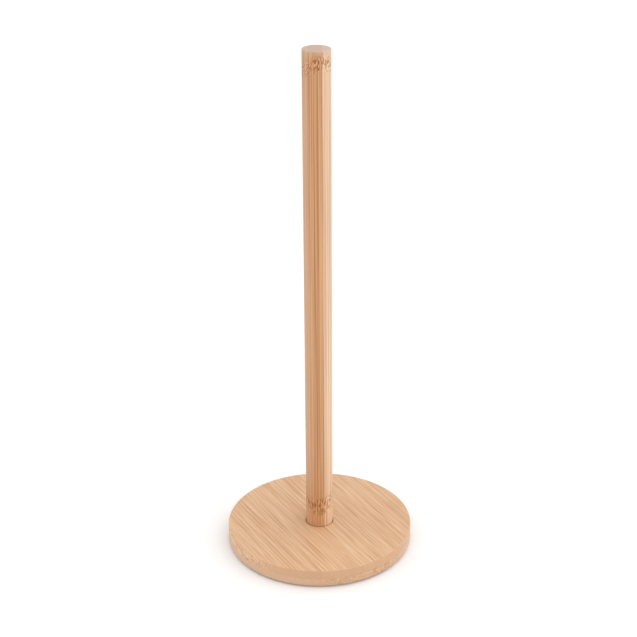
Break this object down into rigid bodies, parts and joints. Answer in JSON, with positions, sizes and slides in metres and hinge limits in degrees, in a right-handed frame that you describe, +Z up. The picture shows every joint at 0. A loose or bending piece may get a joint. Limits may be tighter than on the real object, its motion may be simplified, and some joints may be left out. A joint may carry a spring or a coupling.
{
  "type": "paper towel holder",
  "caption": "Upright kitchen roll holder: a round bamboo base board with a plain round bamboo post standing at its middle.",
  "frame": {"origin": "middle of the plane that the pads stand on, below the middle of the base", "axes": "+Z up along the post; -Y is the side that faces the viewer; the post's glue joints stand across X"},
  "size_m": [0.125, 0.125, 0.342],
  "materials": {
    "base_bamboo_upper": "satin",
    "base_bamboo_lower": "satin",
    "post_bamboo_tan": "satin",
    "post_bamboo_amber": "satin",
    "post_bamboo_pale": "satin",
    "screw_steel": "zinc plated",
    "pad_rubber": "matt"
  },
  "bodies": {
    "root": {"base_bottom_ply": "base_bamboo_lower", "base_top_ply": "base_bamboo_upper", "post_left_stave": "post_bamboo_tan", "post_centre_stave": "post_bamboo_amber", "post_right_stave": "post_bamboo_pale", "fixing_screw": "screw_steel", "pad_1": "pad_rubber", "pad_2": "pad_rubber", "pad_3": "pad_rubber", "pad_4": "pad_rubber"}
  },
  "joints": []
}
